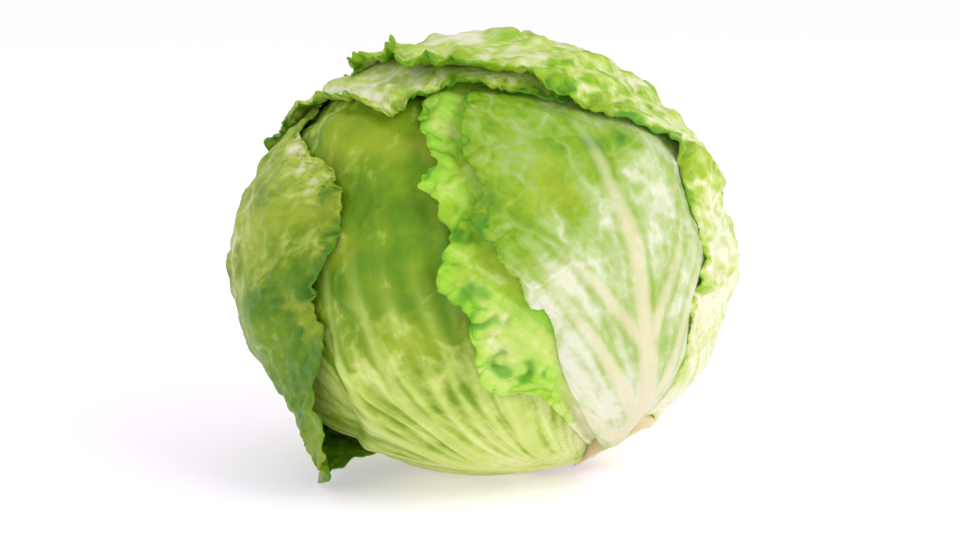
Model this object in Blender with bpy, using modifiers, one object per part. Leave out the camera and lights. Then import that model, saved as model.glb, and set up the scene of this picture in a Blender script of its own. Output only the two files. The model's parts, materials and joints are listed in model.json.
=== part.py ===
"""Iceberg lettuce head lying on its side, with its cut stem low at the right.

A dense heart grows on a short cone of core. Ten wrapper leaves grow from the side of
the same stem, wrap the heart one over another, and end in waved margins that lift off the
head wherever no other leaf holds them down. One wrapper has come loose at the lower left
and hangs to the surface. Metres, +Z up, with the origin on the surface under the head.
"""

import math
from collections import namedtuple

import bmesh
import bpy
import numpy as np
from mathutils import Matrix, Vector

MM = 0.001

# The head is a slightly squashed ball, flattened where it rests on the surface.
HALF_WIDTH = 79 * MM
HALF_DEPTH = 76 * MM
HALF_HEIGHT = 70.5 * MM
REST_SQUASH = 1.6 * MM
BALL_CENTRE_X = 1.0 * MM
BALL_CENTRE_Y = -1.3 * MM
MEAN_RADIUS = 75 * MM

# The stem points down, to the right and a little forwards.
STEM_AIM = (0.52, -0.27, -0.81)
STEM_RADIUS = 13.5 * MM
STEM_STANDS_OUT = 0.5 * MM
STEM_CHAMFER = 1.2 * MM
CORE_TIP_RADIUS = 5.5 * MM
CORE_DEPTH = 46 * MM
STEM_SIDES = 20
JOIN_GAP = 0.5 * MM
STEM_CLEARANCE = 1.07

# The whole head is slightly uneven, and fuller at the left. Ribs show through as low ridges.
SWELL = 0.35 * MM
SWELL_TURNS = 3.1
SWELL_SEED = 4
PUCKER = 0.3 * MM
PUCKER_TURNS = 14
PUCKER_SEED = 5
REST_STEADY = 0.3
FULLER_SIDE = (-0.95, -0.15, -0.25)
FULLER_BY = 3.5 * MM
FULLER_SPREAD = 38
RIBS_SHOW = 0.85
RIBS_HIDDEN = 0.75
RIB_EDGE = 6 * MM

# Every wrapper leaf: a thin blade that thickens to a broad midrib at its base.
BLADE_THICKNESS = 1.1 * MM
LAYER_GAP = 1.55 * MM
MIDRIB_THICKNESS = 3.4 * MM
HIDDEN_MIDRIB_THICKNESS = 1.3 * MM
MIDRIB_HALF_WIDTH = 9 * MM
MIDRIB_STARTS = 10.6
MIDRIB_REACH = 0.75
SIDE_RIBS = ((0.02, 44), (0.12, 25), (0.34, 30))
SIDE_RIB_REACH = 0.7
SIDE_RIB_HEIGHT = 2.6 * MM
SIDE_RIB_HALF_WIDTH = 7 * MM
RIB_FADE = 0.55
RIB_NARROWS = 0.3
DRAPE_KEEP = 7 * MM
DRAPE_FALL = 20 * MM

# The free margins lift and wave.
MARGIN_ZONE = 20 * MM
MARGIN_LIFT = 2.4 * MM
WAVE_ZONE = 13 * MM
WAVE_HEIGHT = 3.2 * MM
WAVE_COUNT = 15
WAVE_UNEVEN = 1.5
HELD_BASE = 23
HELD_FADE = 29
SHELTER_KEEP = 4 * MM
SHELTER_REACH = 14 * MM

# The wrappers, the innermost first. middle and azimuth place the leaf's middle by its angle
# from the stem and its azimuth round it: 0 faces the front and 90 the right. rib and rib_tip
# are the azimuths where its midrib leaves the stem and where it ends. reaches are the distances
# from its middle to its margin, in degrees round the head, at every eighth of a turn: base,
# lower right, right, upper right, tip, upper left, left, lower left. lifts are shares of the
# margin's full lift and waves, at the same eight places. side_ribs counts the leaf's pairs
# of side ribs: SIDE_RIBS gives how far up the midrib each pair parts from it, and the angle.
Leaf = namedtuple("Leaf", "name middle azimuth rib rib_tip reaches lifts side_ribs grid seed colour")
HELD = (0, 0, 0, 0, 0, 0, 0, 0)
INNER = (0.50, 0.62, 0.18)
BRIGHT = (0.34, 0.52, 0.06)
DEEP = (0.30, 0.47, 0.04)
OLIVE = (0.26, 0.37, 0.04)
DULL = (0.33, 0.44, 0.09)
PALE = (0.55, 0.66, 0.20)
WRAPPERS = (
    Leaf("inner_back_leaf", 86, 172, 172, 172, (64, 64, 68, 72, 76, 72, 68, 64), HELD, 0, 16, 11, INNER),
    Leaf("inner_front_leaf", 86, -12, -12, -12, (64, 64, 68, 74, 80, 74, 68, 64), HELD, 0, 13, 12, INNER),
    Leaf("inner_right_leaf", 84, 92, 92, 92, (64, 64, 62, 70, 74, 72, 68, 64), HELD, 0, 15, 13, INNER),
    Leaf("inner_left_leaf", 84, -150, -150, -150, (64, 64, 72, 72, 74, 72, 66, 64), HELD, 0, 15, 14, INNER),
    Leaf(
        "bottom_leaf", 85, -50, -48, -56,
        (66, 60, 70, 84, 90, 84, 84, 70), (0, 0, 0.5, 0.8, 0.8, 0.5, 0.3, 0), 3, 21, 15, PALE,
    ),
    Leaf(
        "front_under_leaf", 85, 40, 12, 42,
        (66, 58, 60, 62, 58, 41, 42, 56), (0, 0, 0, 0.5, 0.8, 0.9, 0.8, 0.5), 0, 15, 16, DEEP,
    ),
    Leaf(
        "loose_left_leaf", 100, -124, -134, -124,
        (62, 54, 86, 90, 74, 68, 66, 66), (0, 0.4, 0.2, 0.5, 0.7, 0.4, 0.2, 0), 3, 20, 17, OLIVE,
    ),
    Leaf(
        "front_right_leaf", 80, 30, 8, 44,
        (58, 62, 82, 62, 42, 26, 22, 28), (0, 0, 0, 0.3, 0.6, 0.6, 0.6, 0.2), 3, 18, 18, BRIGHT,
    ),
    Leaf(
        "crown_leaf", 118, 178, 178, 178,
        (90, 62, 62, 57, 100, 112, 76, 62), (0, 0.5, 0.8, 0.6, 0.5, 0.5, 0.3, 0), 3, 22, 19, DULL,
    ),
    Leaf(
        "back_right_leaf", 92, 140, 134, 144,
        (76, 50, 46, 60, 86, 107, 74, 86), (0, 0.6, 0.9, 1, 0.7, 0.7, 0.2, 0), 3, 25, 20, BRIGHT,
    ),
)
# Some margins reach further in places: bearing from the base, how much further, and spread.
LOBES = {
    "loose_left_leaf": ((112, 17, 13), (61, 10, 11)),
    "crown_leaf": ((-171, 12, 9),),
    "back_right_leaf": ((-100, 8, 14), (-168, 7, 10)),
}
CLASP_PEAK = 20
CLASP_SPREAD = 17
OUTLINE_WANDER = 1.2
OUTLINE_WAVES = (5, 7, 9, 12)
WANDER_STARTS = 50

# The loose wrapper hangs from the left of the head towards the surface.
HANGING_LEAF = "loose_left_leaf"
HANG_BEARING = 60
HANG_SPREAD = 27
HANG_ZONE = 50 * MM
HANG_OUT = 13 * MM

HEART_GAP = 0.9 * MM
HEART_DETAIL = 4

HEART_GREEN = (0.62, 0.72, 0.30)
STEM_CREAM = (0.84, 0.72, 0.46)
LEAF_ROUGHNESS = 0.45
STEM_ROUGHNESS = 0.6


def unit(vector):
    """The vector at length 1."""
    vector = np.asarray(vector, float)
    return vector / np.linalg.norm(vector)


STEM_AXIS = unit(STEM_AIM)
FRONT = unit(np.array((0, -1, 0)) - STEM_AXIS * np.dot((0, -1, 0), STEM_AXIS))
RIGHT = np.cross(-STEM_AXIS, FRONT)
HALF_SIZES = np.array((HALF_WIDTH, HALF_DEPTH, HALF_HEIGHT))
BALL_CENTRE = np.array((BALL_CENTRE_X, BALL_CENTRE_Y, HALF_HEIGHT - REST_SQUASH))


def head_direction(from_stem, azimuth):
    """The direction at an angle from the stem and an azimuth round it, in degrees."""
    theta, phi = math.radians(from_stem), math.radians(azimuth)
    sideways = math.cos(phi) * FRONT + math.sin(phi) * RIGHT
    return math.cos(theta) * STEM_AXIS + math.sin(theta) * sideways


def smooth_step(value):
    """0 below 0, 1 above 1, and an S curve between."""
    t = np.clip(value, 0, 1)
    return t * t * (3 - 2 * t)


def wander(angle, seed, waves):
    """A smooth closed ripple of about unit height, from a few sines of a full turn."""
    draw = np.random.RandomState(seed)
    total = np.zeros_like(angle)
    for count in waves:
        total += math.sqrt(2 / len(waves)) * np.sin(count * angle + draw.uniform(0, 2 * math.pi))
    return total


def leaf_frame(leaf):
    """The leaf's middle direction, the direction there towards its base, and its right."""
    middle = head_direction(leaf.middle, leaf.azimuth)
    base = unit(STEM_AXIS - middle * np.dot(STEM_AXIS, middle))
    return middle, base, np.cross(middle, base)


def ring_curve(values, angle):
    """A smooth closed curve through values spaced evenly round a full turn."""
    values = np.array(values, float)
    count = len(values)
    place = np.asarray(angle) / (2 * math.pi) * count % count
    before = np.floor(place).astype(int) % count
    after = (before + 1) % count
    t = place - np.floor(place)
    slope = (np.roll(values, -1) - np.roll(values, 1)) / 2
    rise = smooth_step(t) * (values[after] - values[before])
    bend = t * (1 - t) ** 2 * slope[before] - t * t * (1 - t) * slope[after]
    return values[before] + rise + bend


def bump(angle, middle, spread_angle):
    """A smooth bump of height 1 round a middle angle, all in degrees."""
    off = (angle - middle + 180) % 360 - 180
    return np.exp(-((off / spread_angle) ** 2))


def outline(leaf, bearing):
    """How far the leaf reaches from its middle at a bearing from its base, in radians."""
    degrees = np.degrees(bearing)
    reach = ring_curve(leaf.reaches, bearing)
    reach += CLASP_PEAK * bump(degrees, 0, CLASP_SPREAD)
    away_from_base = smooth_step(np.abs(degrees) / WANDER_STARTS)
    reach += OUTLINE_WANDER * away_from_base * wander(bearing, leaf.seed, OUTLINE_WAVES)
    for place, height, width in LOBES.get(leaf.name, ()):
        reach += height * bump(degrees, place, width)
    return np.minimum(np.radians(reach), stem_reach(leaf, bearing))


def stem_reach(leaf, bearing):
    """The distance from the leaf's middle to the side of the stem, in radians."""
    stem = math.cos((STEM_RADIUS + JOIN_GAP) / MEAN_RADIUS * STEM_CLEARANCE)
    middle = math.radians(leaf.middle)
    straight, sideways = math.cos(middle), math.sin(middle) * np.cos(bearing)
    length = np.hypot(straight, sideways)
    half = np.arccos(np.clip(stem / length, -1, 1))
    near = np.arctan2(sideways, straight) - half
    return np.where((length >= stem) & (near > 0), near, math.pi)


def spread(leaf, directions):
    """Distance from the leaf's middle and bearing from its base, in radians."""
    middle, base, right = leaf_frame(leaf)
    towards_base, towards_right = directions @ base, directions @ right
    distance = np.arctan2(np.hypot(towards_base, towards_right), directions @ middle)
    return distance, np.arctan2(towards_right, towards_base)


def leaf_directions(leaf, distance, bearing):
    """The directions at those distances and bearings: the reverse of spread()."""
    middle, base, right = leaf_frame(leaf)
    away = np.cos(bearing)[:, None] * base + np.sin(bearing)[:, None] * right
    return np.cos(distance)[:, None] * middle + np.sin(distance)[:, None] * away


def cover(leaf, directions, keep, fall):
    """1 on the leaf and for keep metres outside its margin, then down to 0 over fall."""
    distance, bearing = spread(leaf, directions)
    outside = (distance - outline(leaf, bearing)) * MEAN_RADIUS
    return 1 - smooth_step((outside - keep) / fall)


def distance_to_line(points, start, end):
    """Distance of plane points to a segment, and how far along it the nearest point is."""
    run = end - start
    share = np.clip((points - start) @ run / np.dot(run, run), 0, 1)
    return np.linalg.norm(points - start - share[:, None] * run, axis=1), share


def leaf_plane(leaf, directions):
    """The directions as flat points on the leaf, in metres, with its tip towards +Y."""
    distance, bearing = spread(leaf, directions)
    along = distance * MEAN_RADIUS
    return np.stack((along * np.sin(bearing), -along * np.cos(bearing)), axis=1)


def ridge(points, start, end, half_width, height):
    """A rounded ridge along a line on the leaf, narrower and lower towards its end."""
    off, share = distance_to_line(points, start, end)
    across = off / (half_width * (1 - RIB_NARROWS * share))
    return height * (1 - share) ** RIB_FADE * np.exp(-(across**2))


def rib_height(leaf, directions):
    """The raised midrib, with side ribs that part from it, from the stem towards the tip."""
    points = leaf_plane(leaf, directions)
    foot = head_direction(MIDRIB_STARTS, leaf.rib)
    head = head_direction(leaf.middle + MIDRIB_REACH * leaf.reaches[4], leaf.rib_tip)
    start, end = leaf_plane(leaf, np.stack((foot, head)))
    thickest = MIDRIB_THICKNESS if leaf.side_ribs else HIDDEN_MIDRIB_THICKNESS
    height = ridge(points, start, end, MIDRIB_HALF_WIDTH, thickest)
    for share, angle in SIDE_RIBS[: leaf.side_ribs]:
        root = start + share * (end - start)
        left_to_run = (1 - share) * SIDE_RIB_REACH * (end - start)
        for turn in (-math.radians(angle), math.radians(angle)):
            towards = np.array(((math.cos(turn), math.sin(turn)), (-math.sin(turn), math.cos(turn))))
            tip = root + towards @ left_to_run
            side = ridge(points, root, tip, SIDE_RIB_HALF_WIDTH, SIDE_RIB_HEIGHT * (1 - share / 2))
            height = np.maximum(height, side)
    return height


def thickness(leaf, directions):
    """The leaf's thickness: its blade with the midrib and side ribs."""
    return BLADE_THICKNESS + rib_height(leaf, directions)


def layer(leaf, directions):
    """The depth that the leaf takes up in the stack of leaves, draped past its margin."""
    depth = thickness(leaf, directions) + LAYER_GAP
    return depth * cover(leaf, directions, DRAPE_KEEP, DRAPE_FALL)


def depth_under(number, directions):
    """How far the leaves outside this one press it in below the head's outer surface."""
    total = np.zeros(len(directions))
    for leaf in WRAPPERS[number + 1 :]:
        total += layer(leaf, directions)
    return total


def freedom(number, directions):
    """1 where no outer leaf holds this one down, and 0 under one or close beside it."""
    free = np.ones(len(directions))
    for leaf in WRAPPERS[number + 1 :]:
        free *= 1 - cover(leaf, directions, SHELTER_KEEP, SHELTER_REACH)
    return free


def margin_lift(leaf, number, directions):
    """How far the free margin stands off the head: a lift, waves and the loose leaf's hang."""
    distance, bearing = spread(leaf, directions)
    inside = (outline(leaf, bearing) - distance) * MEAN_RADIUS
    away_from_base = smooth_step((np.abs(np.degrees(bearing)) - HELD_BASE) / HELD_FADE)
    near = np.clip(1 - inside / MARGIN_ZONE, 0, 1) ** 2
    near_wave = np.clip(1 - inside / WAVE_ZONE, 0, 1) ** 2
    uneven = WAVE_UNEVEN * wander(bearing, leaf.seed + 50, (2, 3, 5))
    wave = 0.5 + 0.5 * np.sin(WAVE_COUNT * bearing + uneven)
    lift = ring_curve(leaf.lifts, bearing) * (MARGIN_LIFT * near + WAVE_HEIGHT * near_wave * wave)
    if leaf.name == HANGING_LEAF:
        window = 1 - smooth_step(np.abs(np.degrees(bearing) - HANG_BEARING) / HANG_SPREAD)
        lift += HANG_OUT * window * np.clip(1 - inside / HANG_ZONE, 0, 1) ** 2
    return lift * away_from_base * freedom(number, directions)


def waviness(directions, seed, count, turns):
    """An uneven field of about unit height, from a few waves that cross the head."""
    draw = np.random.RandomState(seed)
    total = np.zeros(len(directions))
    for _ in range(count):
        axis = unit(draw.normal(size=3))
        total += np.sin(turns * (directions @ axis) + draw.uniform(0, 2 * math.pi))
    return total


def swell(directions):
    """The unevenness of the whole head, the same for every layer."""
    slow = SWELL * waviness(directions, SWELL_SEED, 5, SWELL_TURNS)
    pucker = PUCKER * waviness(directions, PUCKER_SEED, 8, PUCKER_TURNS)
    turned = np.degrees(np.arccos(np.clip(directions @ unit(FULLER_SIDE), -1, 1)))
    fuller = FULLER_BY * bump(turned, 0, FULLER_SPREAD)
    above_rest = smooth_step((directions[:, 2] + 1) / REST_STEADY)
    return (slow + pucker + fuller + ridges(directions)) * above_rest


def ridges(directions):
    """The ridges that the ribs raise on the head, fainter where other leaves cover them."""
    total = np.zeros(len(directions))
    seen = np.ones(len(directions))
    for leaf in reversed(WRAPPERS):
        if leaf.side_ribs:
            shape = cover(leaf, directions, 0, RIB_EDGE)
            total += seen * shape * rib_height(leaf, directions)
            seen *= 1 - RIBS_HIDDEN * shape
    return total * RIBS_SHOW


def on_head(directions, height, floor_height):
    """The points at a height over the head's outer surface, kept above the surface below."""
    normals = directions / HALF_SIZES
    normals /= np.linalg.norm(normals, axis=1)[:, None]
    points = BALL_CENTRE + directions * HALF_SIZES + normals * height[:, None]
    points[:, 2] = np.maximum(points[:, 2], floor_height)
    return points


def material(name, colour, roughness):
    """A plain non-metal material for a part of the plant."""
    made = bpy.data.materials.new(name)
    made.use_nodes = True
    shader = made.node_tree.nodes["Principled BSDF"]
    shader.inputs["Base Color"].default_value = (*colour, 1)
    shader.inputs["Roughness"].default_value = roughness
    shader.inputs["Metallic"].default_value = 0
    return made


def add_object(name, mesh, finish, collection):
    """Puts a mesh in the collection as a named, smooth-shaded object."""
    mesh.materials.append(finish)
    mesh.shade_smooth()
    made = bpy.data.objects.new(name, mesh)
    collection.objects.link(made)
    return made


def disc_grid(cells):
    """A square sheet of cells, split into triangles and rounded to a disc of radius 1."""
    sheet = bmesh.new()
    bmesh.ops.create_grid(sheet, x_segments=cells, y_segments=cells, size=1)
    for corner in sheet.verts:
        a, b = corner.co.x, corner.co.y
        corner.co.x = a * math.sqrt(1 - b * b / 2)
        corner.co.y = b * math.sqrt(1 - a * a / 2)
    bmesh.ops.triangulate(sheet, faces=sheet.faces[:], quad_method="SHORT_EDGE")
    return sheet


def wrapper_leaf(leaf, number, collection):
    """One wrapper: a disc-like sheet laid over the head and thickened inwards."""
    sheet = disc_grid(leaf.grid)
    flat = np.array([corner.co[:] for corner in sheet.verts])
    bearing = np.arctan2(flat[:, 0], -flat[:, 1])
    distance = np.hypot(flat[:, 0], flat[:, 1]) * outline(leaf, bearing)
    directions = leaf_directions(leaf, distance, bearing)
    depth = depth_under(number, directions)
    height = swell(directions) - depth + margin_lift(leaf, number, directions)
    points = on_head(directions, height, depth)
    for corner, point in zip(sheet.verts, points):
        corner.co = point
    bmesh.ops.recalc_face_normals(sheet, faces=sheet.faces[:])
    middle = Vector(BALL_CENTRE)
    if sum(face.normal.dot(face.calc_center_median() - middle) for face in sheet.faces) < 0:
        bmesh.ops.reverse_faces(sheet, faces=sheet.faces[:])
    mesh = bpy.data.meshes.new(leaf.name)
    sheet.to_mesh(mesh)
    sheet.free()
    finish = material(leaf.name, leaf.colour, LEAF_ROUGHNESS)
    made = add_object(leaf.name, mesh, finish, collection)
    share = thickness(leaf, directions) / (BLADE_THICKNESS + MIDRIB_THICKNESS)
    weights = made.vertex_groups.new(name="thickness")
    for index, weight in enumerate(share):
        weights.add([index], float(weight), "REPLACE")
    shell = made.modifiers.new("thickness", "SOLIDIFY")
    shell.thickness = BLADE_THICKNESS + MIDRIB_THICKNESS
    shell.offset = -1
    shell.vertex_group = "thickness"
    return made


def heart(finish, collection):
    """The dense ball of inner leaves, with the last of their margins as low steps."""
    ball = bmesh.new()
    bmesh.ops.create_icosphere(ball, subdivisions=HEART_DETAIL, radius=1)
    directions = np.array([corner.co[:] for corner in ball.verts])
    directions /= np.linalg.norm(directions, axis=1)[:, None]
    depth = depth_under(-1, directions)
    ball.verts.index_update()
    deepest = depth.copy()
    for edge in ball.edges:
        one, other = (corner.index for corner in edge.verts)
        deepest[one] = max(deepest[one], depth[other])
        deepest[other] = max(deepest[other], depth[one])
    depth = deepest + HEART_GAP
    height = swell(directions) - depth
    points = on_head(directions, height, depth)
    for corner, point in zip(ball.verts, points):
        corner.co = point
    mesh = bpy.data.meshes.new("heart")
    ball.to_mesh(mesh)
    ball.free()
    return add_object("heart", mesh, finish, collection)


def stem_solid(name, finish, collection, clearance):
    """The cut stem with its cone of core: a profile spun round the stem's axis."""
    profile = (
        (0, STEM_STANDS_OUT + clearance),
        (STEM_RADIUS - STEM_CHAMFER + clearance, STEM_STANDS_OUT + clearance),
        (STEM_RADIUS + clearance, STEM_STANDS_OUT - STEM_CHAMFER),
        (CORE_TIP_RADIUS + clearance, -CORE_DEPTH - clearance),
        (0, -CORE_DEPTH - clearance),
    )
    solid = bmesh.new()
    corners = [solid.verts.new((radius, 0, along)) for radius, along in profile]
    line = [solid.edges.new(pair) for pair in zip(corners, corners[1:])]
    bmesh.ops.spin(
        solid,
        geom=corners + line,
        cent=(0, 0, 0),
        axis=(0, 0, 1),
        angle=2 * math.pi,
        steps=STEM_SIDES,
        use_merge=True,
    )
    bmesh.ops.remove_doubles(solid, verts=solid.verts[:], dist=0.01 * MM)
    bmesh.ops.recalc_face_normals(solid, faces=solid.faces[:])
    cut_face = BALL_CENTRE + STEM_AXIS * HALF_SIZES
    outwards = Vector(unit(STEM_AXIS / HALF_SIZES))
    turn = Vector((0, 0, 1)).rotation_difference(outwards).to_matrix().to_4x4()
    solid.transform(Matrix.Translation(cut_face) @ turn)
    mesh = bpy.data.meshes.new(name)
    solid.to_mesh(mesh)
    solid.free()
    return add_object(name, mesh, finish, collection)


def main():
    for thing in list(bpy.data.objects):
        bpy.data.objects.remove(thing)
    lettuce = bpy.data.collections.new("iceberg_lettuce_head")
    cutters = bpy.data.collections.new("cutters")
    bpy.context.scene.collection.children.link(lettuce)
    bpy.context.scene.collection.children.link(cutters)
    for number, leaf in enumerate(WRAPPERS):
        wrapper_leaf(leaf, number, lettuce)
    ball = heart(material("heart", HEART_GREEN, LEAF_ROUGHNESS), lettuce)
    cream = material("stem", STEM_CREAM, STEM_ROUGHNESS)
    recess = stem_solid("core_recess", cream, cutters, JOIN_GAP)
    recess.hide_render = True
    recess.display_type = "WIRE"
    cut = ball.modifiers.new("core recess", "BOOLEAN")
    cut.object = recess
    stem_solid("stem", cream, lettuce, 0)


main()
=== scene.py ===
"""Looks of an iceberg lettuce head lying on its side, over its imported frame."""

import json
import math
from dataclasses import dataclass

import bpy
import numpy as np
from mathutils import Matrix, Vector, noise

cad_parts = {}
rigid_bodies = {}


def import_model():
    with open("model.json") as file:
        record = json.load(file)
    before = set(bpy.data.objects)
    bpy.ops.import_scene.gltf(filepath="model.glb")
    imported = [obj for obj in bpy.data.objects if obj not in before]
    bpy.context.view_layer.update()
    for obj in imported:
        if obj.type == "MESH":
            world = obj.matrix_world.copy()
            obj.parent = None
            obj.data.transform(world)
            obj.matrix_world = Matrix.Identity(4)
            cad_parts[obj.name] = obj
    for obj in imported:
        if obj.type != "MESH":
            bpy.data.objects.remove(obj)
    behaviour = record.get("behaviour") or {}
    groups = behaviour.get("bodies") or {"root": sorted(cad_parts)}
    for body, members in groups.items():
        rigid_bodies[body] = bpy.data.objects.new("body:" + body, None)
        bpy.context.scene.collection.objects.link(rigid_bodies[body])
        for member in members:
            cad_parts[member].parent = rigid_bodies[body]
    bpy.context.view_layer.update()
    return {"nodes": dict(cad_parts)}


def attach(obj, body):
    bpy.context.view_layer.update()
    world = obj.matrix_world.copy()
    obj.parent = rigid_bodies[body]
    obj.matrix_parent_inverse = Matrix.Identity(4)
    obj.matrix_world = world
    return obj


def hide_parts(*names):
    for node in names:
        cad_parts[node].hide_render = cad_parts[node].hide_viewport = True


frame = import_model()

# The surface, the light and the camera
# The head lies on a plain white surface that glows a little, as in a light tent: a broad lamp
# high at the right, a weaker one at the left, and a white room round them.
MM = 0.001
HALF_HEIGHT = 70.5 * MM
REST_SQUASH = 1.6 * MM
BALL_CENTRE = np.array((1.0 * MM, -1.3 * MM, HALF_HEIGHT - REST_SQUASH))
FLOOR_SIZE = 30
FLOOR_WHITE = (0.91, 0.88, 0.94, 1)
FLOOR_ROUGHNESS = 0.9
FLOOR_GLOW = 0.39
GLOW_COLOUR = (0.90, 0.80, 1.0, 1)
ROOM_WHITE = (1, 1, 1, 1)
ROOM_STRENGTH = 0.74
LENS = 85
NEAREST_SEEN = 0.01
CAMERA_AWAY = 0.732
CAMERA_RISE = 10
AIM_RIGHT = -1.6 * MM
AIM_UP = -4.8 * MM
LAMPS = {
    "key_lamp": ((0.95, -0.65, 0.95), 0.9, 7.9),
    "fill_lamp": ((-0.7, -1.2, 0.35), 1.2, 2.9),
}


def new_finish(name):
    """A new material and its shader."""
    finish = bpy.data.materials.new(name)
    finish.use_nodes = True
    return finish, finish.node_tree.nodes["Principled BSDF"]


bpy.ops.object.select_all(action="DESELECT")
bpy.ops.mesh.primitive_plane_add(size=FLOOR_SIZE, location=(0, 0, 0))
surface = bpy.context.object
surface.name = "surface"
surface_white, white_shader = new_finish("surface_white")
white_shader.inputs["Base Color"].default_value = FLOOR_WHITE
white_shader.inputs["Roughness"].default_value = FLOOR_ROUGHNESS
white_shader.inputs["Emission Color"].default_value = GLOW_COLOUR
white_shader.inputs["Emission Strength"].default_value = FLOOR_GLOW
surface.data.materials.append(surface_white)

room = bpy.data.worlds.new("white_room")
room.use_nodes = True
room.node_tree.nodes["Background"].inputs["Color"].default_value = ROOM_WHITE
room.node_tree.nodes["Background"].inputs["Strength"].default_value = ROOM_STRENGTH
bpy.context.scene.world = room
bpy.context.scene.view_settings.view_transform = "Standard"

for name, (place, size, power) in LAMPS.items():
    lamp = bpy.data.lights.new(name, "AREA")
    lamp.size = size
    lamp.energy = power
    holder = bpy.data.objects.new(name, lamp)
    holder.location = place
    holder.rotation_euler = (Vector(place) - Vector(BALL_CENTRE)).to_track_quat("Z", "Y").to_euler()
    bpy.context.scene.collection.objects.link(holder)

rise = math.radians(CAMERA_RISE)
backwards = Vector((0, -math.cos(rise), math.sin(rise)))
sideways = Vector((1, 0, 0))
aim = Vector(BALL_CENTRE) + sideways * AIM_RIGHT + backwards.cross(sideways) * AIM_UP
camera = bpy.data.cameras.new("camera")
camera.lens = LENS
camera.clip_start = NEAREST_SEEN
viewer = bpy.data.objects.new("camera", camera)
viewer.location = aim + backwards * CAMERA_AWAY
viewer.rotation_euler = backwards.to_track_quat("Z", "Y").to_euler()
bpy.context.scene.collection.objects.link(viewer)
bpy.context.scene.camera = viewer

# The back right leaf
# The outermost wrapper: a thin waxy blade. It grows from the back of the stem, covers the back
# and the right, and comes over the top to the front, where its frilled margin lifts. The head
# is laid from this leaf inwards, so that each leaf lies under those already laid.

# The head's form: a slightly flattened ball, its stem low at the right
HALF_WIDTH = 79 * MM
HALF_DEPTH = 76 * MM
HALF_SIZES = np.array((HALF_WIDTH, HALF_DEPTH, HALF_HEIGHT))
MEAN_RADIUS = 75 * MM
SLOW_SWELL = 0.35 * MM
PUCKER = 0.3 * MM
SHOULDER = 3.5 * MM
SHOULDER_SPREAD = 38
SHOULDER_SIDE = (-0.95, -0.15, -0.25)


def unit(vector):
    """The vector at length 1."""
    vector = np.asarray(vector, float)
    return vector / np.linalg.norm(vector)


STEM_AXIS = unit((0.52, -0.27, -0.81))
FRONT = unit(np.array((0, -1, 0)) - STEM_AXIS * np.dot((0, -1, 0), STEM_AXIS))
RIGHT = np.cross(-STEM_AXIS, FRONT)


def smooth_step(value):
    """0 below 0, 1 above 1, and an S curve between."""
    t = np.clip(value, 0, 1)
    return t * t * (3 - 2 * t)


def bump(angle, middle, width):
    """A smooth bump of height 1 round a middle angle, all in degrees."""
    off = (angle - middle + 180) % 360 - 180
    return np.exp(-((off / width) ** 2))


def waviness(directions, seed, count, turns):
    """An uneven field of about unit height, from a few waves that cross the head."""
    draw = np.random.RandomState(seed)
    total = np.zeros(len(directions))
    for _ in range(count):
        axis = unit(draw.normal(size=3))
        total += np.sin(turns * (directions @ axis) + draw.uniform(0, 2 * math.pi))
    return total


def swell(directions):
    """The slow unevenness of the whole head and its fuller left, the same for every layer."""
    slow = SLOW_SWELL * waviness(directions, seed=4, count=5, turns=3.1)
    pucker = PUCKER * waviness(directions, seed=5, count=8, turns=14)
    turned = np.degrees(np.arccos(np.clip(directions @ unit(SHOULDER_SIDE), -1, 1)))
    return slow + pucker + SHOULDER * bump(turned, 0, SHOULDER_SPREAD)


def outward(directions):
    """The head's outward normals."""
    normals = directions / HALF_SIZES
    return normals / np.linalg.norm(normals, axis=1)[:, None]


def on_head(directions, height, lowest):
    """The points at a height over the head's outer surface, kept above the surface below."""
    points = BALL_CENTRE + directions * HALF_SIZES + outward(directions) * height[:, None]
    points[:, 2] = np.maximum(points[:, 2], lowest)
    return points


@dataclass
class Leaf:
    """Where a leaf lies, in degrees.

    A place on it is given by its bearing from the base and its share of the way to the margin.
    A ring of eight values stands at each eighth of a turn round the margin: base, lower right,
    right, upper right, tip, upper left, left, lower left.
    """

    middle: float  # how far the leaf's middle is from the stem
    azimuth: float  # how far round the stem it is from the front
    rib: float  # the azimuth of the midrib's foot
    rib_tip: float  # the azimuth of its tip
    reaches: tuple  # a ring: how far the leaf reaches from its middle
    side_ribs: int  # how many pairs part from the midrib
    cells: int  # how finely the leaf's sheet is divided
    seed: int  # what sets its own unevenness
    lobes: tuple = ()  # each a bearing, how far it goes beyond the margin, and a width


# The margin clasps the stem at the leaf's base, and wanders a little all round
CORE_RADIUS = 14 * MM
STEM_CLEARANCE = 1.07
STEM_ROOM = STEM_CLEARANCE * CORE_RADIUS
CLASP_REACH = 20
CLASP_WIDTH = 17
MARGIN_WANDER = 1.2
MARGIN_WAVES = (5, 7, 9, 12)
STEADY_BASE = 50


def head_direction(from_stem, azimuth):
    """The direction at an angle from the stem and an azimuth round it, in degrees."""
    theta, phi = math.radians(from_stem), math.radians(azimuth)
    across = math.cos(phi) * FRONT + math.sin(phi) * RIGHT
    return math.cos(theta) * STEM_AXIS + math.sin(theta) * across


def leaf_frame(leaf):
    """The leaf's middle direction, the direction there towards its base, and its right."""
    middle = head_direction(leaf.middle, leaf.azimuth)
    base = unit(STEM_AXIS - middle * np.dot(STEM_AXIS, middle))
    return middle, base, np.cross(middle, base)


def spread(leaf, directions):
    """Distance from the leaf's middle and bearing from its base, in radians."""
    middle, base, right = leaf_frame(leaf)
    towards_base, towards_right = directions @ base, directions @ right
    distance = np.arctan2(np.hypot(towards_base, towards_right), directions @ middle)
    return distance, np.arctan2(towards_right, towards_base)


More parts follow.
